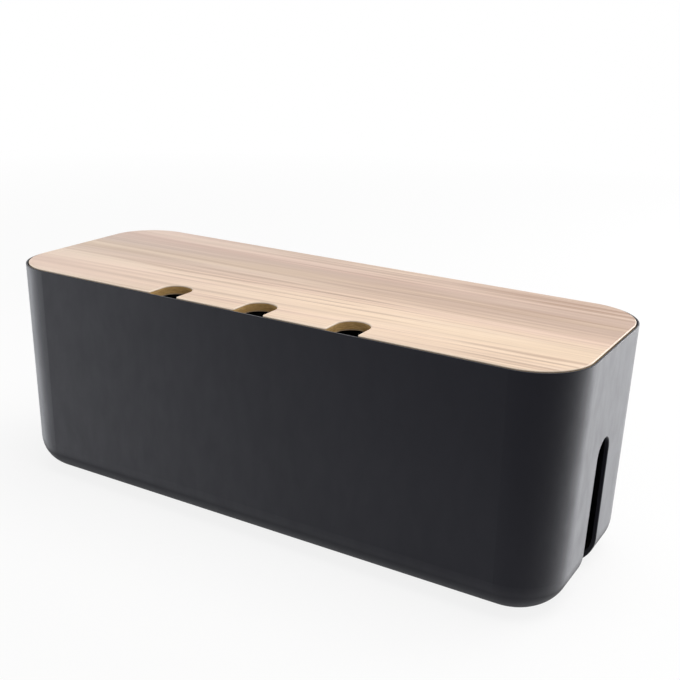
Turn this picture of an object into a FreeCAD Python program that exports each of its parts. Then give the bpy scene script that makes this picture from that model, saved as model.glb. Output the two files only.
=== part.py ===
import FreeCAD, Part
import Sketcher
import math
import os

# A cable management box, in millimetres: a drafted plastic tub with a cord slot in each end, and a wooden
# board that sits in its rim as a lid, with three notches along the front edge for charging leads.
# The origin is under the middle of the box, on the surface that its feet stand on. X runs along the box,
# the front is at -Y, and +Z is up.

DIMENSIONS = [
    # the tub's outside, measured at the rim
    ("tub_length", 400),
    ("tub_width", 145.5),
    ("tub_height", 148.5),
    ("corner_radius", 35.5),
    ("bottom_radius", 22.5),
    ("draft_angle", 1.4),
    # the tub's wall, the rebate that the lid drops into, and how far the lid stands above the rim
    ("wall", 2.4),
    ("rim_wall", 1.3),
    ("rim_rounding", 0.4),
    ("lid_gap", 0.6),
    ("lid_rise", 0.8),
    # the lid's three layers
    ("top_veneer", 1),
    ("core_board", 4.4),
    ("bottom_veneer", 0.6),
    ("lid_easing", 0.8),
    # the notches in the lid's front edge
    ("notch_count", 3),
    ("notch_pitch", 64),
    ("notch_width", 21),
    ("notch_depth", 23.5),
    ("notch_corner", 1.5),
    # the cord slots in the end walls, measured from the tub's underside
    ("slot_top", 92),
    ("slot_top_width", 20.8),
    ("slot_bottom_width", 23.8),
    ("slot_run_out", 5),
    ("slot_rounding", 0.7),
    # the ribs inside the wall that carry the lid
    ("rib_thickness", 2),
    ("rib_reach", 7),
    ("rib_lip", 3),
    ("rib_depth", 22),
    ("rib_root", 1.7),
    ("rib_inner_place", 32),
    ("rib_outer_place", 128),
    ("rib_end_place", 30),
    # the feet, each stuck into a shallow well under the floor
    ("foot_radius", 8),
    ("foot_thickness", 2),
    ("foot_rounding", 0.6),
    ("foot_standoff", 1.5),
    ("disc_radius", 7.2),
    ("disc_thickness", 0.3),
    ("well_radius", 8.75),
    ("foot_place_x", 150),
    ("foot_place_y", 31),
]

# Formulas that several features share.
LID_THICKNESS = "(dims.top_veneer + dims.core_board + dims.bottom_veneer)"
LEDGE_HEIGHT = "(dims.tub_height + dims.lid_rise - %s)" % LID_THICKNESS
LID_LENGTH = "(dims.tub_length - 2 * dims.rim_wall - 2 * dims.lid_gap)"
LID_WIDTH = "(dims.tub_width - 2 * dims.rim_wall - 2 * dims.lid_gap)"
LID_CORNER = "(dims.corner_radius - dims.rim_wall - dims.lid_gap)"
TAPER = "(dims.tub_height * tan(dims.draft_angle * 1 deg))"
FLOOR_END = "(dims.tub_length / 2 - %s - dims.bottom_radius)" % TAPER
WELL_DEPTH = "(dims.foot_thickness + dims.disc_thickness - dims.foot_standoff)"

FOOT_SIDES = {
    "front_left": (-1, -1),
    "front_right": (1, -1),
    "rear_left": (-1, 1),
    "rear_right": (1, 1),
}
TOUCH = 0.01


def make_sheet():
    sheet = doc.addObject("Spreadsheet::Sheet", "dims")
    for row, (alias, value) in enumerate(DIMENSIONS, start=1):
        sheet.set("A%d" % row, alias)
        sheet.set("B%d" % row, str(value))
        sheet.setAlias("B%d" % row, alias)
    doc.recompute()
    return sheet


def value_of(formula):
    """The number that a formula of the sheet gives."""
    found = dims.evalExpression(formula)
    return float(getattr(found, "Value", found))


# Sketches

def new_sketch(body, name, role, height=None):
    """A sketch on one of the body's own planes, moved along the plane's normal by a formula."""
    sketch = body.newObject("Sketcher::SketchObject", name)
    plane = next(f for f in body.Origin.OriginFeatures if f.Role == role)
    sketch.AttachmentSupport = [(plane, "")]
    sketch.MapMode = "FlatFace"
    if height is not None:
        sketch.setExpression(".AttachmentOffset.Base.z", height)
    return sketch


def line(sketch, start, end):
    ends = [FreeCAD.Vector(x, y, 0) for x, y in (start, end)]
    return sketch.addGeometry(Part.LineSegment(*ends), False)


def arc(sketch, centre, radius, start, end):
    """An arc from start to end, in degrees, anticlockwise."""
    ring = Part.Circle(FreeCAD.Vector(centre[0], centre[1], 0), FreeCAD.Vector(0, 0, 1), radius)
    return sketch.addGeometry(Part.ArcOfCircle(ring, math.radians(start), math.radians(end)), False)


def tie(sketch, kind, *where):
    sketch.addConstraint(Sketcher.Constraint(kind, *where))


def size(sketch, name, formula, kind, *where):
    """Adds a dimension under a name, and binds it to the sheet."""
    sketch.addConstraint(Sketcher.Constraint(kind, *where, value_of(formula)))
    sketch.renameConstraint(sketch.ConstraintCount - 1, name)
    sketch.setExpression("Constraints." + name, formula)


def pin(sketch, name, axis, formula, geometry, point):
    """Holds a point at a distance from the origin along the sketch's X or Y, on either side of it."""
    if value_of(formula) < 0:
        size(sketch, name, "-1 * (%s)" % formula, "Distance" + axis, geometry, point, -1, 1)
    else:
        size(sketch, name, formula, "Distance" + axis, -1, 1, geometry, point)


def rounded_rectangle(body, name, length, width, radius, height=None):
    """A rectangle with round corners about the origin, on the horizontal plane or at a height above it."""
    sketch = new_sketch(body, name, "XY_Plane", height)
    x, y, r = value_of(length) / 2, value_of(width) / 2, value_of(radius)
    bottom = line(sketch, (-x + r, -y), (x - r, -y))
    corner_a = arc(sketch, (x - r, -y + r), r, -90, 0)
    right = line(sketch, (x, -y + r), (x, y - r))
    corner_b = arc(sketch, (x - r, y - r), r, 0, 90)
    top = line(sketch, (x - r, y), (-x + r, y))
    corner_c = arc(sketch, (-x + r, y - r), r, 90, 180)
    left = line(sketch, (-x, y - r), (-x, -y + r))
    corner_d = arc(sketch, (-x + r, -y + r), r, 180, 270)
    outline = [bottom, corner_a, right, corner_b, top, corner_c, left, corner_d]
    for this, following in zip(outline, outline[1:] + outline[:1]):
        tie(sketch, "Tangent", this, 2, following, 1)
    for level in (bottom, top):
        tie(sketch, "Horizontal", level)
    for upright in (right, left):
        tie(sketch, "Vertical", upright)
    for corner in (corner_b, corner_c, corner_d):
        tie(sketch, "Equal", corner_a, corner)
    tie(sketch, "Symmetric", corner_a, 3, corner_c, 3, -1, 1)
    size(sketch, "radius", radius, "Radius", corner_a)
    size(sketch, "length", length, "DistanceX", left, 1, right, 1)
    size(sketch, "width", width, "DistanceY", bottom, 1, top, 1)
    return sketch


def polygon(sketch, name, points):
    """A closed outline through points given as pairs of formulas."""
    places = [(value_of(x), value_of(y)) for x, y in points]
    sides = [line(sketch, a, b) for a, b in zip(places, places[1:] + places[:1])]
    for this, following in zip(sides, sides[1:] + sides[:1]):
        tie(sketch, "Coincident", this, 2, following, 1)
    for number, (side, (x, y)) in enumerate(zip(sides, points), start=1):
        pin(sketch, "%s_across_%d" % (name, number), "X", x, side, 1)
        pin(sketch, "%s_up_%d" % (name, number), "Y", y, side, 1)


def circle(sketch, name, radius, x, y):
    place = FreeCAD.Vector(value_of(x), value_of(y), 0)
    ring = sketch.addGeometry(Part.Circle(place, FreeCAD.Vector(0, 0, 1), value_of(radius)), False)
    size(sketch, name + "_radius", radius, "Radius", ring)
    pin(sketch, name + "_across", "X", x, ring, 3)
    pin(sketch, name + "_along", "Y", y, ring, 3)


def notch_sketch(body, name):
    """The lid's first notch: two straight sides from beyond the front edge, and a half-round back."""
    sketch = new_sketch(body, name, "XY_Plane")
    half = value_of("dims.notch_width") / 2
    x = -value_of("dims.notch_pitch") * (value_of("dims.notch_count") - 1) / 2
    front = -value_of("dims.tub_width") / 2
    turn = value_of("dims.notch_depth") - value_of(LID_WIDTH) / 2 - half
    mouth = line(sketch, (x - half, front), (x + half, front))
    right = line(sketch, (x + half, front), (x + half, turn))
    back = arc(sketch, (x, turn), half, 0, 180)
    left = line(sketch, (x - half, turn), (x - half, front))
    tie(sketch, "Coincident", mouth, 2, right, 1)
    tie(sketch, "Tangent", right, 2, back, 1)
    tie(sketch, "Tangent", back, 2, left, 1)
    tie(sketch, "Coincident", left, 2, mouth, 1)
    tie(sketch, "Horizontal", mouth)
    tie(sketch, "Vertical", right)
    tie(sketch, "Vertical", left)
    pin(sketch, "front", "Y", "-1 * dims.tub_width / 2", mouth, 1)
    size(sketch, "width", "dims.notch_width", "DistanceX", mouth, 1, mouth, 2)
    pin(sketch, "place", "X", "-1 * dims.notch_pitch * (dims.notch_count - 1) / 2", back, 3)
    turn_formula = "dims.notch_depth - %s / 2 - dims.notch_width / 2" % LID_WIDTH
    pin(sketch, "turn", "Y", turn_formula, back, 3)
    return sketch


def slot_sketch(body, name):
    """A cord slot as seen on the end wall: round at the top, slightly wider at the bottom, and open there."""
    sketch = new_sketch(body, name, "YZ_Plane", FLOOR_END)
    top_half = value_of("dims.slot_top_width") / 2
    low_half = value_of("dims.slot_bottom_width") / 2
    low = -value_of("dims.slot_run_out")
    turn = value_of("dims.slot_top") - top_half
    base = line(sketch, (-low_half, low), (low_half, low))
    right = line(sketch, (low_half, low), (top_half, turn))
    crown = arc(sketch, (0, turn), top_half, 0, 180)
    left = line(sketch, (-top_half, turn), (-low_half, low))
    tie(sketch, "Coincident", base, 2, right, 1)
    tie(sketch, "Tangent", right, 2, crown, 1)
    tie(sketch, "Tangent", crown, 2, left, 1)
    tie(sketch, "Coincident", left, 2, base, 1)
    tie(sketch, "Symmetric", base, 1, base, 2, -2)
    tie(sketch, "PointOnObject", crown, 3, -2)
    size(sketch, "crown_radius", "dims.slot_top_width / 2", "Radius", crown)
    size(sketch, "base_width", "dims.slot_bottom_width", "DistanceX", base, 1, base, 2)
    pin(sketch, "run_out", "Y", "-1 * dims.slot_run_out", base, 1)
    pin(sketch, "turn", "Y", "dims.slot_top - dims.slot_top_width / 2", crown, 3)
    return sketch


# Features

def new_body(label):
    body = doc.addObject("PartDesign::Body", label)
    body.Label = label
    return body


def check_change(feature, before, grows):
    """A feature that cuts or adds nothing shows no error, so the volumes are compared."""
    doc.recompute()
    change = feature.Shape.Volume - before
    if change * (1 if grows else -1) <= 0:
        raise RuntimeError("%s changes the volume by %.3f" % (feature.Name, change))
    return feature


def pad(body, name, sketch, length, both_ways=False):
    before = body.Shape.Volume if body.Tip else 0
    feature = body.newObject("PartDesign::Pad", name)
    feature.Profile = sketch
    feature.setExpression("Length", length)
    feature.Midplane = both_ways
    return check_change(feature, before, True)


def pocket(body, name, sketch, length=None, upward=False):
    """Cuts a sketch to a depth, or through everything. Upward means along the sketch plane's normal."""
    before = body.Shape.Volume
    feature = body.newObject("PartDesign::Pocket", name)
    feature.Profile = sketch
    if length:
        feature.setExpression("Length", length)
    else:
        feature.Type = "ThroughAll"
    feature.Reversed = upward
    return check_change(feature, before, False)


def mirrored(body, name, originals, role, grows):
    before = body.Shape.Volume
    feature = body.newObject("PartDesign::Mirrored", name)
    feature.Originals = originals
    plane = next(f for f in body.Origin.OriginFeatures if f.Role == role)
    feature.MirrorPlane = (plane, [""])
    body.Tip = feature
    return check_change(feature, before, grows)


def fillet(body, name, base, test, radius):
    """Rounds the edges of a feature that pass a test."""
    chosen = ["Edge%d" % n for n, edge in enumerate(base.Shape.Edges, start=1) if test(edge)]
    if not chosen:
        raise RuntimeError("%s finds no edges" % name)
    feature = body.newObject("PartDesign::Fillet", name)
    feature.Base = (base, chosen)
    feature.setExpression("Radius", radius)
    doc.recompute()
    return feature


def is_at_height(height):
    return lambda edge: abs(edge.BoundBox.ZMin - height) < TOUCH and abs(edge.BoundBox.ZMax - height) < TOUCH


def is_upright_face(face):
    return face.BoundBox.ZLength > TOUCH


def is_outer_slot_edge(edge):
    """A long edge of a cord slot that lies on the tub's outer surface: on the end wall or the bottom radius."""
    box = edge.BoundBox
    reach = max(abs(box.XMin), abs(box.XMax))
    beside = max(abs(box.YMin), abs(box.YMax))
    below_rim = value_of("dims.tub_height") - box.ZMax
    wall = value_of("dims.tub_length") / 2 - below_rim * math.tan(math.radians(value_of("dims.draft_angle")))
    on_outside = abs(reach - wall) < TOUCH or abs(box.ZMin) < TOUCH
    at_slot = reach > value_of(FLOOR_END) + TOUCH and beside < value_of("dims.slot_bottom_width")
    return at_slot and on_outside and box.ZLength > TOUCH


# The tub

def tub_shell(body):
    """The drafted, rounded block, hollowed from the top to an even wall."""
    outline = rounded_rectangle(body, "tub_outline", "dims.tub_length", "dims.tub_width", "dims.corner_radius")
    block = pad(body, "tub_block", outline, "dims.tub_height")
    faces = list(enumerate(block.Shape.Faces, start=1))
    walls = ["Face%d" % n for n, face in faces if is_upright_face(face)]
    top = ["Face%d" % n for n, face in faces if face.BoundBox.ZMin > value_of("dims.tub_height") - TOUCH]
    draft = body.newObject("PartDesign::Draft", "tub_draft")
    draft.Base = (block, walls)
    draft.NeutralPlane = (block, top)
    draft.Reversed = True
    draft.setExpression("Angle", "dims.draft_angle")
    doc.recompute()
    rounded = fillet(body, "tub_bottom_round", draft, is_at_height(0), "dims.bottom_radius")
    faces = enumerate(rounded.Shape.Faces, start=1)
    top = ["Face%d" % n for n, face in faces if face.BoundBox.ZMin > value_of("dims.tub_height") - TOUCH]
    hollow = body.newObject("PartDesign::Thickness", "tub_hollow")
    hollow.Base = (rounded, top)
    hollow.setExpression("Value", "dims.wall")
    hollow.Reversed = True
    hollow.Join = 0
    doc.recompute()
    return hollow


def tub_rebate(body):
    """The step inside the rim that the lid drops into, with the rim's edges rounded."""
    length = "(dims.tub_length - 2 * dims.rim_wall)"
    width = "(dims.tub_width - 2 * dims.rim_wall)"
    corner = "(dims.corner_radius - dims.rim_wall)"
    outline = rounded_rectangle(body, "rebate_outline", length, width, corner, "dims.tub_height")
    step = pocket(body, "lid_rebate", outline, "%s - dims.lid_rise" % LID_THICKNESS)
    return fillet(body, "rim_round", step, is_at_height(value_of("dims.tub_height")), "dims.rim_rounding")


def rib_points(half_span, side):
    """One rib's outline on a wall, with side -1 or 1 for which wall."""
    wall_line = "%d * (%s - dims.rib_root)" % (side, half_span)
    tip_line = "%d * (%s - dims.wall - dims.rib_reach)" % (side, half_span)
    return [
        (wall_line, LEDGE_HEIGHT),
        (tip_line, LEDGE_HEIGHT),
        (tip_line, "%s - dims.rib_lip" % LEDGE_HEIGHT),
        (wall_line, "%s - dims.rib_depth" % LEDGE_HEIGHT),
    ]


def tub_ribs(body):
    """Ribs under the lid's edge, level with the ledge: four on each long wall and two on each end."""
    long_ribs = []
    for name, place in (("inner", "dims.rib_inner_place"), ("outer", "dims.rib_outer_place")):
        sketch = new_sketch(body, "rib_%s_outline" % name, "YZ_Plane", place)
        polygon(sketch, "front", rib_points("dims.tub_width / 2", -1))
        polygon(sketch, "rear", rib_points("dims.tub_width / 2", 1))
        long_ribs.append(pad(body, "rib_%s" % name, sketch, "dims.rib_thickness", True))
    mirrored(body, "rib_mirror", long_ribs, "YZ_Plane", True)
    sketch = new_sketch(body, "rib_end_outline", "XZ_Plane", "dims.rib_end_place")
    polygon(sketch, "left", rib_points("dims.tub_length / 2", -1))
    polygon(sketch, "right", rib_points("dims.tub_length / 2", 1))
    end_ribs = pad(body, "rib_end", sketch, "dims.rib_thickness", True)
    return mirrored(body, "rib_end_mirror", [end_ribs], "XZ_Plane", True)


def tub_slots(body):
    """The cord slots, cut through each end wall and the bottom radius below it."""
    slot = pocket(body, "slot", slot_sketch(body, "slot_outline"), upward=True)
    both = mirrored(body, "slot_mirror", [slot], "YZ_Plane", False)
    return fillet(body, "slot_round", both, is_outer_slot_edge, "dims.slot_rounding")


def tub_wells(body):
    """Four shallow wells under the floor for the feet."""
    sketch = new_sketch(body, "well_outline", "XY_Plane")
    for name, (side_x, side_y) in FOOT_SIDES.items():
        x = "%d * dims.foot_place_x" % side_x
        y = "%d * dims.foot_place_y" % side_y
        circle(sketch, name, "dims.well_radius", x, y)
    return pocket(body, "foot_wells", sketch, WELL_DEPTH, upward=True)


def make_tub():
    body = new_body("tub")
    tub_shell(body)
    tub_rebate(body)
    tub_ribs(body)
    tub_slots(body)
    tub_wells(body)
    body.setExpression(".Placement.Base.z", "dims.foot_standoff")
    return body


# The lid

def make_lid_layer(label, thickness, below):
    """One layer of the lid: a rounded board with the three notches, standing on the layers below it."""
    body = new_body(label)
    outline = rounded_rectangle(body, label + "_outline", LID_LENGTH, LID_WIDTH, LID_CORNER)
    pad(body, label + "_board", outline, thickness)
    cut = pocket(body, label + "_notch", notch_sketch(body, label + "_notch_outline"), upward=True)
    before = body.Shape.Volume
    row = body.newObject("PartDesign::LinearPattern", label + "_notches")
    row.Originals = [cut]
    along = next(f for f in body.Origin.OriginFeatures if f.Role == "X_Axis")
    row.Direction = (along, [""])
    row.setExpression("Length", "dims.notch_pitch * (dims.notch_count - 1)")
    row.setExpression("Occurrences", "dims.notch_count")
    body.Tip = row
    check_change(row, before, False)
    front = -value_of(LID_WIDTH) / 2

    def is_notch_corner(edge):
        box = edge.BoundBox
        return abs(box.YMax - front) < TOUCH and box.XLength < TOUCH and box.YLength < TOUCH

    fillet(body, label + "_corners", row, is_notch_corner, "dims.notch_corner")
    heights = ["dims.foot_standoff", LEDGE_HEIGHT, *below]
    body.setExpression(".Placement.Base.z", " + ".join(heights))
    return body


def make_lid():
    backing = make_lid_layer("lid_bottom_veneer", "dims.bottom_veneer", [])
    core = make_lid_layer("lid_core", "dims.core_board", ["dims.bottom_veneer"])
    face = make_lid_layer("lid_top_veneer", "dims.top_veneer", ["dims.bottom_veneer", "dims.core_board"])
    fillet(face, "lid_easing", face.Tip, is_at_height(value_of("dims.top_veneer")), "dims.lid_easing")
    return [face, core, backing]


# The feet

def make_foot(name, side_x, side_y):
    body = new_body("foot_" + name)
    sketch = new_sketch(body, "foot_outline_" + name, "XY_Plane")
    circle(sketch, "foot", "dims.foot_radius", "0", "0")
    block = pad(body, "foot_block_" + name, sketch, "dims.foot_thickness")
    fillet(body, "foot_round_" + name, block, is_at_height(0), "dims.foot_rounding")
    body.setExpression(".Placement.Base.x", "%d * dims.foot_place_x" % side_x)
    body.setExpression(".Placement.Base.y", "%d * dims.foot_place_y" % side_y)
    return body


def make_discs():
    """The adhesive discs between the feet and their wells: four solids in one piece."""
    discs = []
    for name, (side_x, side_y) in FOOT_SIDES.items():
        disc = doc.addObject("Part::Cylinder", "disc_" + name)
        disc.setExpression("Radius", "dims.disc_radius")
        disc.setExpression("Height", "dims.disc_thickness")
        disc.setExpression(".Placement.Base.x", "%d * dims.foot_place_x" % side_x)
        disc.setExpression(".Placement.Base.y", "%d * dims.foot_place_y" % side_y)
        disc.setExpression(".Placement.Base.z", "dims.foot_thickness")
        discs.append(disc)
    group = doc.addObject("Part::Compound", "foot_adhesive_discs")
    group.Label = "foot_adhesive_discs"
    group.Links = discs
    return group


def check_document():
    failed = [o.Name for o in doc.Objects if {"Invalid", "Error"} & set(o.State)]
    if failed:
        raise RuntimeError("these objects failed: %s" % ", ".join(failed))
    for sketch in doc.findObjects("Sketcher::SketchObject"):
        if sketch.solve() != 0 or sketch.FullyConstrained is not True:
            raise RuntimeError("%s is not fully constrained" % sketch.Name)


def export(pieces):
    os.makedirs("parts", exist_ok=True)
    for piece in pieces:
        if piece.Shape.isNull() or not piece.Shape.isValid():
            raise RuntimeError("%s has no valid shape" % piece.Label)
    for piece in pieces:
        piece.Shape.exportStep("parts/%s.step" % piece.Label)
        box = piece.Shape.BoundBox
        print("%-20s %d solids  %10.1f mm3  z %.2f to %.2f" % (
            piece.Label, len(piece.Shape.Solids), piece.Shape.Volume, box.ZMin, box.ZMax))


doc = FreeCAD.newDocument("cable_box")
dims = make_sheet()
pieces = [make_tub()]
pieces += make_lid()
pieces += [make_foot(name, *sides) for name, sides in FOOT_SIDES.items()]
pieces.append(make_discs())
doc.recompute()
check_document()
export(pieces)
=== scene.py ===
import math

import bpy
from mathutils import Matrix, Vector

# The looks of a cable management box: matte black plastic tub, drop-in wooden lid, rubber feet.
# Lengths are in metres. X runs along the box, the front is at -Y, and Z is up.

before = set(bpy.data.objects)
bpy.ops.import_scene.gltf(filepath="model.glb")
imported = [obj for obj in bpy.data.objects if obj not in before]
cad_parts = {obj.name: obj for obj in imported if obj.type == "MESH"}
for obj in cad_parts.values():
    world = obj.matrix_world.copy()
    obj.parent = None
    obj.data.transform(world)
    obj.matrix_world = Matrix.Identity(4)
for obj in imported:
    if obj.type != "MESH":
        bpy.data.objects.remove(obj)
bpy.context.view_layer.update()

# The camera, in the picture's terms: focal length in pixels of a 680 pixel square picture, and its aim.
PICTURE_SIZE = 680
FOCAL_PIXELS = 1056.94
SENSOR_MM = 36.0
CAMERA_PLACE = (0.3453, -0.5554, 0.3325)
CAMERA_AZIMUTH = 30.175
CAMERA_ELEVATION = 18.426
CAMERA_ROLL = 1.623

FLOOR_SIZE = 14.0
MM = 0.001


def make_camera():
    """Aims the camera with its azimuth, elevation and roll. The back axis points from the box to it."""
    azimuth, elevation, roll = map(math.radians, (CAMERA_AZIMUTH, CAMERA_ELEVATION, CAMERA_ROLL))
    back = Vector((
        math.sin(azimuth) * math.cos(elevation),
        -math.cos(azimuth) * math.cos(elevation),
        math.sin(elevation),
    ))
    level = Vector((math.cos(azimuth), math.sin(azimuth), 0))
    upright = back.cross(level)
    right = math.cos(roll) * level + math.sin(roll) * upright
    up = math.cos(roll) * upright - math.sin(roll) * level
    turn = Matrix((right, up, back)).transposed()
    data = bpy.data.cameras.new("camera")
    data.sensor_width = SENSOR_MM
    data.lens = FOCAL_PIXELS * SENSOR_MM / PICTURE_SIZE
    data.clip_start = 0.01
    data.clip_end = 100
    camera = bpy.data.objects.new("camera", data)
    camera.matrix_world = Matrix.Translation(CAMERA_PLACE) @ turn.to_4x4()
    bpy.context.scene.collection.objects.link(camera)
    bpy.context.scene.camera = camera


# Materials

class Nodes:
    """A node tree with one output, and short calls to add and join nodes."""

    def __init__(self, tree, output_kind):
        self.tree = tree
        self.tree.nodes.clear()
        self.output = self.add(output_kind)

    def add(self, kind, settings=None, **inputs):
        """Adds a node. An input given as a node is linked to its first output. A name such as _0 is the
        number of an input."""
        node = self.tree.nodes.new("ShaderNode" + kind)
        for name, value in (settings or {}).items():
            setattr(node, name, value)
        for name, value in inputs.items():
            index = int(name[1:]) if name[1:].isdigit() else name.replace("_", " ")
            self.feed(node.inputs[index], value)
        return node

    def feed(self, socket, value):
        """Links a node or an output to the socket, or sets a plain value on it."""
        if isinstance(value, bpy.types.Node):
            value = next(o for o in value.outputs if o.enabled)
        if isinstance(value, bpy.types.NodeSocket):
            self.tree.links.new(value, socket)
        else:
            socket.default_value = value

    def maths(self, operation, a, b=0.0):
        return self.add("Math", {"operation": operation}, _0=a, _1=b)

    def mix(self, share, a, b):
        """Mixes two colours. The sockets 6 and 7 are the node's colours."""
        return self.add("Mix", {"data_type": "RGBA"}, _0=share, _6=a, _7=b).outputs[2]

    def ramp(self, value, stops):
        """Turns a value from 0 to 1 into colours that ease into each other. A stop is (place, colour)."""
        node = self.add("ValToRGB", Fac=value)
        node.color_ramp.interpolation = "EASE"
        while len(node.color_ramp.elements) < len(stops):
            node.color_ramp.elements.new(0.5)
        for element, (place, colour) in zip(node.color_ramp.elements, stops):
            element.position = place
            element.color = colour
        return node.outputs[0]

    def range(self, value, low, high, to_low, to_high):
        """Maps low to to_low and high to to_high, and goes no further at either end."""
        return self.add("MapRange", Value=value, From_Min=low, From_Max=high, To_Min=to_low, To_Max=to_high)

    def place(self):
        """The three coordinates of a point on the object, in metres."""
        return self.add("SeparateXYZ", Vector=self.add("TexCoord").outputs["Object"]).outputs

    def upward(self):
        """How far the surface faces up: 1 on top, 0 on a wall, -1 underneath."""
        return self.add("SeparateXYZ", Vector=self.add("NewGeometry").outputs["Normal"]).outputs["Z"]

    def openness(self, distance):
        """1 where nothing stands within the distance, and less in a crevice."""
        return self.add("AmbientOcclusion", {"samples": 8}, Distance=distance).outputs["AO"]

    def noise(self, scales, place, seed, detail=3.0, roughness=0.5, distortion=0.0):
        """Noise stretched along each axis: scales are in cells per metre."""
        scaled = [self.maths("MULTIPLY", p, s) for p, s in zip(place, scales)]
        vector = self.add("CombineXYZ", X=scaled[0], Y=scaled[1], Z=scaled[2])
        node = self.add(
            "TexNoise", {"noise_dimensions": "4D"}, Vector=vector, W=seed, Scale=1.0,
            Detail=detail, Roughness=roughness, Distortion=distortion,
        )
        return node.outputs[0]

    def bump(self, height, strength, distance):
        return self.add("Bump", Height=height, Strength=strength, Distance=distance)

    def show(self, shader):
        """Joins the last node to the output."""
        self.feed(self.output.inputs["Surface"], shader)


class Shader(Nodes):
    """The nodes of a new material."""

    def __init__(self, name):
        self.material = bpy.data.materials.new(name)
        self.material.use_nodes = True
        super().__init__(self.material.node_tree, "OutputMaterial")

    def surface(self, **inputs):
        self.show(self.add("BsdfPrincipled", **inputs))


def rgb(red, green, blue):
    """A colour given in display values from 0 to 255, as the linear values that shaders take."""
    def linear(v):
        v = v / 255
        return v / 12.92 if v <= 0.04045 else ((v + 0.055) / 1.055) ** 2.4
    return (linear(red), linear(green), linear(blue), 1)


# The painted sheen rises with this power of how far the surface turns from the view, up to a limit.
# Painted shade weakens it on the underside, on top of the rim, and in the crevice along the lid.
PAINTED_SHEEN_POWER = 2.7
PAINTED_SHEEN_LIMIT = 0.37
PLASTIC_CREVICE = 4 * MM
PAINTED_SHEEN_COLOUR = (0.82, 0.826, 0.872, 1)


def plastic():
    """Black moulded plastic with a fine matte texture. A pale sheen at a grazing view is painted into the
    colour.
    """
    s = Shader("tub_plastic")
    x, y, z = s.place()
    cloud = s.noise((9, 9, 9), (x, y, z), detail=4, seed=1)
    smear = s.noise((14, 14, 60), (x, y, z), detail=3, distortion=0.6, seed=2)
    grain = s.noise((2400, 2400, 2400), (x, y, z), detail=2, seed=3)
    pits = s.noise((900, 900, 900), (x, y, z), detail=2, seed=4)
    tint = s.mix(s.range(cloud, 0.3, 0.7, 0, 1), (0.0080, 0.0082, 0.0130, 1), (0.0116, 0.0117, 0.0172, 1))
    up = s.upward()
    # Painted sheen: a pale colour mixed in more where the surface turns from the view.
    painted_sheen = s.maths("POWER", s.add("LayerWeight").outputs["Facing"], PAINTED_SHEEN_POWER)
    painted_sheen = s.maths("MINIMUM", painted_sheen, PAINTED_SHEEN_LIMIT)
    # Painted shade: the sheen is cut on the underside, on top of the rim and in the crevice along the lid.
    underside_painted_shade = s.range(up, -0.35, -0.03, 0.10, 1)
    rim_top_painted_shade = s.range(up, 0.10, 0.50, 1, 0.30)
    mottle = s.noise((110, 110, 45), (x, y, z), detail=4, roughness=0.6, seed=19)
    mottle = s.range(mottle, 0.35, 0.65, 0.89, 1.09)
    clear = s.range(s.openness(PLASTIC_CREVICE), 0.86, 0.99, 0, 1)
    for factor in (underside_painted_shade, mottle, clear, rim_top_painted_shade):
        painted_sheen = s.maths("MULTIPLY", painted_sheen, factor)
    # Painted shade: the crevice also dulls the specular.
    shine = s.range(clear, 0, 1, 0.03, 0.12)
    colour = s.mix(painted_sheen, tint, PAINTED_SHEEN_COLOUR)
    rough = s.maths("ADD", s.range(cloud, 0.3, 0.7, 0.40, 0.46), s.range(smear, 0.3, 0.7, -0.015, 0.015))
    height = s.maths("ADD", grain, s.maths("MULTIPLY", pits, 0.6))
    s.surface(
        Base_Color=colour, Roughness=rough, Specular_IOR_Level=shine,
        Normal=s.bump(height, 0.10, 0.05 * MM),
    )
    return s.material


# The veneer is palest towards the front and has a broad, deeper band behind the middle.
# The paler front is partly the veneer's own tone and partly painted light.
WOOD_HALF_WIDTH = 0.074
WOOD_CREVICE = 1.5 * MM
PALE_WOOD = rgb(242, 216, 191)
MIDDLE_WOOD = rgb(216, 191, 174)
DEEP_WOOD = rgb(194, 167, 151)


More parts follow.
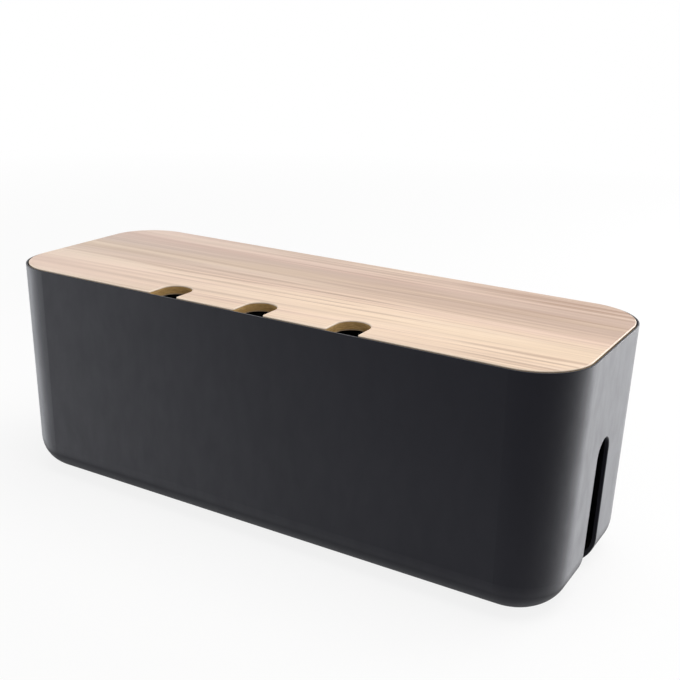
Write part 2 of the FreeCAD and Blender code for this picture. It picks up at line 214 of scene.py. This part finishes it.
def wood_face():
    """Pale, straight-grained veneer. The grain runs along X in long, slightly wandering streaks."""
    s = Shader("wood_face")
    x, y, _ = s.place()
    flat = (x, y, 0.0)
    # The streaks wander, and slant a little towards the front.
    wander = s.noise((2.2, 9, 0), flat, detail=2, seed=5)
    ripple = s.noise((7, 60, 0), flat, detail=2, seed=6)
    shift = s.maths("ADD", s.range(wander, 0, 1, -0.008, 0.008), s.range(ripple, 0, 1, -0.0012, 0.0012))
    slant = s.maths("MULTIPLY", x, s.range(y, 0.010, -0.030, 0, -0.045))
    across = s.maths("ADD", s.maths("ADD", y, shift), slant)
    # Partly painted light: the band keeps the front of the lid palest.
    band = s.ramp(s.range(across, -WOOD_HALF_WIDTH, WOOD_HALF_WIDTH, 0, 1), [
        (0.00, PALE_WOOD),
        (0.30, PALE_WOOD),
        (0.65, DEEP_WOOD),
        (1.00, MIDDLE_WOOD),
    ])
    grained = (x, across, 0.0)
    hue = s.noise((2.5, 28, 0), grained, detail=2, seed=17)
    broad = s.noise((3.0, 70, 0), grained, detail=3, roughness=0.55, seed=7)
    streak = s.noise((4.5, 260, 0), grained, detail=4, roughness=0.6, seed=8)
    fine = s.noise((14, 1300, 0), grained, detail=3, roughness=0.6, seed=9)
    pore = s.noise((70, 3600, 0), grained, detail=1, seed=10)
    where = s.noise((1.6, 16, 0), flat, detail=2, seed=11)
    # The figure is stronger in places. Towards the left it fades, and the left end is paler and greyer: a
    # painted sheen.
    figure_faded_by_sheen = s.maths("MULTIPLY", s.range(where, 0.35, 0.6, 0.3, 1), s.range(x, -0.16, 0.06, 0.45, 1))
    colour = s.mix(s.range(x, -0.20, 0.05, 0.45, 0), band, rgb(222, 210, 202))
    colour = s.mix(s.range(hue, 0.52, 0.66, 0, 0.35), colour, rgb(222, 186, 176))
    colour = s.mix(s.range(hue, 0.46, 0.34, 0, 0.30), colour, rgb(232, 210, 176))
    colour = s.mix(s.range(broad, 0.45, 0.66, 0, 0.35), colour, rgb(188, 162, 148))
    colour = s.mix(s.range(broad, 0.50, 0.34, 0, 0.22), colour, rgb(250, 232, 212))
    dark = s.maths("MULTIPLY", s.range(streak, 0.50, 0.62, 0, 0.80), figure_faded_by_sheen)
    colour = s.mix(dark, colour, rgb(164, 130, 108))
    light = s.maths("MULTIPLY", s.range(streak, 0.46, 0.35, 0, 0.50), figure_faded_by_sheen)
    colour = s.mix(light, colour, rgb(250, 230, 210))
    hairline = s.maths("MULTIPLY", s.range(fine, 0.5, 0.68, 0, 0.30), figure_faded_by_sheen)
    colour = s.mix(hairline, colour, rgb(166, 138, 120))
    colour = s.mix(s.range(pore, 0.62, 0.72, 0, 0.16), colour, rgb(140, 112, 96))
    # Painted highlight: the eased edge is painted paler. Painted shade: the foot of the edge, in the
    # crevice along the rim, is painted dark.
    eased_edge_highlight = s.range(s.upward(), 0.97, 0.80, 0, 0.60)
    colour = s.mix(eased_edge_highlight, colour, rgb(252, 236, 216))
    shaded = s.range(s.openness(WOOD_CREVICE), 0.75, 0.40, 0, 0.85)
    colour = s.mix(shaded, colour, rgb(96, 70, 52))
    height = s.maths("SUBTRACT", s.maths("MULTIPLY", fine, -0.6), s.range(pore, 0.6, 0.72, 0, 1))
    rough = s.range(fine, 0.3, 0.7, 0.46, 0.58)
    s.surface(
        Base_Color=colour, Roughness=rough, Specular_IOR_Level=0.30,
        Normal=s.bump(height, 0.25, 0.06 * MM),
    )
    return s.material


def board(name, pale, deep):
    """The cut edge of pressed board: short fibres in fine, broken lines."""
    s = Shader(name)
    x, y, z = s.place()
    fibre = s.noise((260, 260, 1500), (x, y, z), detail=4, roughness=0.65, seed=12)
    patch = s.noise((60, 60, 160), (x, y, z), detail=2, seed=13)
    colour = s.mix(s.range(fibre, 0.34, 0.68, 0, 1), pale, deep)
    colour = s.mix(s.range(patch, 0.4, 0.7, 0, 0.35), colour, deep)
    s.surface(
        Base_Color=colour, Roughness=s.range(fibre, 0.3, 0.7, 0.75, 0.9), Specular_IOR_Level=0.2,
        Normal=s.bump(fibre, 0.4, 0.12 * MM),
    )
    return s.material


def rubber():
    """Dark, matte rubber with light wear."""
    s = Shader("foot_rubber")
    x, y, z = s.place()
    grain = s.noise((1800, 1800, 1800), (x, y, z), detail=3, seed=14)
    wear = s.noise((120, 120, 120), (x, y, z), detail=3, seed=15)
    colour = s.mix(s.range(wear, 0.35, 0.7, 0, 1), (0.020, 0.020, 0.021, 1), (0.045, 0.044, 0.043, 1))
    s.surface(
        Base_Color=colour, Roughness=s.range(wear, 0.3, 0.7, 0.7, 0.85), Specular_IOR_Level=0.3,
        Normal=s.bump(grain, 0.3, 0.08 * MM),
    )
    return s.material


def adhesive():
    """Pale adhesive film with small bubbles."""
    s = Shader("adhesive")
    x, y, z = s.place()
    bubble = s.noise((700, 700, 700), (x, y, z), detail=3, seed=16)
    colour = s.mix(s.range(bubble, 0.3, 0.7, 0, 1), rgb(214, 208, 190), rgb(232, 228, 214))
    s.surface(
        Base_Color=colour, Roughness=s.range(bubble, 0.3, 0.7, 0.4, 0.6),
        Normal=s.bump(bubble, 0.2, 0.05 * MM),
    )
    return s.material


def paint(node, material):
    """Gives a piece of the box its one material."""
    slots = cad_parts[node].data.materials
    slots.clear()
    slots.append(material)


# The stage and the lights

# How much of the floor is plain white near the box, to the camera and in mirrored views. Further out it
# rises, and beyond the far distance all of it is white.
NEAR_WHITE = 0.85
NEAR_MIRRORED = 0.30
NEAR_DISTANCE = 0.6
FAR_DISTANCE = 1.6


def floor_material():
    """A pale floor that keeps the shadow. To the camera and in mirrored views it is largely white."""
    s = Shader("floor")
    x, y, _ = s.place()
    distance = s.maths("SQRT", s.maths("ADD", s.maths("MULTIPLY", x, x), s.maths("MULTIPLY", y, y)))
    path = s.add("LightPath")
    seen = s.maths("MAXIMUM", path.outputs["Is Camera Ray"], path.outputs["Is Transmission Ray"])
    seen = s.maths("MULTIPLY", seen, s.range(distance, NEAR_DISTANCE, FAR_DISTANCE, NEAR_WHITE, 1))
    mirrored = s.range(distance, NEAR_DISTANCE, FAR_DISTANCE, NEAR_MIRRORED, 1)
    mirrored = s.maths("MULTIPLY", path.outputs["Is Glossy Ray"], mirrored)
    share = s.maths("MAXIMUM", seen, mirrored)
    lit = s.add("BsdfDiffuse", Color=(0.95, 0.95, 0.95, 1))
    white = s.add("Emission", Color=(1, 1, 1, 1), Strength=1.0)
    s.show(s.add("MixShader", _0=share, _1=lit, _2=white))
    return s.material


def make_floor():
    """A flat floor that reaches well past the view."""
    half = FLOOR_SIZE / 2
    mesh = bpy.data.meshes.new("floor")
    corners = [(-half, -half, 0), (half, -half, 0), (half, half, 0), (-half, half, 0)]
    mesh.from_pydata(corners, [], [(0, 1, 2, 3)])
    mesh.materials.append(floor_material())
    floor = bpy.data.objects.new("floor", mesh)
    bpy.context.scene.collection.objects.link(floor)


WORLD_LIGHT = 0.32


def make_world():
    """Even, dim light from all round. The camera and mirrors see it as white."""
    world = bpy.data.worlds.new("studio")
    bpy.context.scene.world = world
    world.use_nodes = True
    s = Nodes(world.node_tree, "OutputWorld")
    path = s.add("LightPath")
    seen = s.maths("MAXIMUM", path.outputs["Is Camera Ray"], path.outputs["Is Transmission Ray"])
    seen = s.maths("MAXIMUM", seen, path.outputs["Is Glossy Ray"])
    strength = s.range(seen, 0, 1, WORLD_LIGHT, 1)
    s.show(s.add("Background", Color=(1, 1, 1, 1), Strength=strength))


# Each softbox: place, what it points at, width, height, watts and colour.
SOFTBOXES = {
    "overhead": ((0.35, 0.10, 1.48), (0, 0, 0.1), 1.3, 1.1, 16, (1.0, 0.99, 0.97)),
    "right_rear": ((0.78, 1.25, 0.24), (0.20, 0, 0.10), 1.0, 0.40, 15, (0.98, 0.99, 1.0)),
    "left": ((-1.35, -1.00, 0.24), (-0.1, 0, 0.10), 0.9, 0.40, 7, (0.92, 0.96, 1.0)),
}


def make_lights():
    """Large, soft lamps: one overhead and two low ones that shape the ends."""
    for name, (place, aim, width, height, watts, colour) in SOFTBOXES.items():
        data = bpy.data.lights.new(name, "AREA")
        data.shape = "RECTANGLE"
        data.size = width
        data.size_y = height
        data.energy = watts
        data.color = colour
        lamp = bpy.data.objects.new(name, data)
        lamp.location = place
        lamp.rotation_mode = "QUATERNION"
        lamp.rotation_quaternion = (Vector(aim) - Vector(place)).to_track_quat("-Z", "Y")
        bpy.context.scene.collection.objects.link(lamp)


make_camera()
make_world()
make_floor()
make_lights()

paint("tub", plastic())
paint("lid_top_veneer", wood_face())
paint("lid_core", board("wood_core", rgb(232, 195, 134), rgb(190, 148, 88)))
paint("lid_bottom_veneer", board("wood_backing", rgb(214, 188, 156), rgb(186, 156, 124)))
foot_rubber = rubber()
for corner in ("front_left", "front_right", "rear_left", "rear_right"):
    paint("foot_" + corner, foot_rubber)
paint("foot_adhesive_discs", adhesive())

bpy.context.scene.view_settings.view_transform = "Standard"
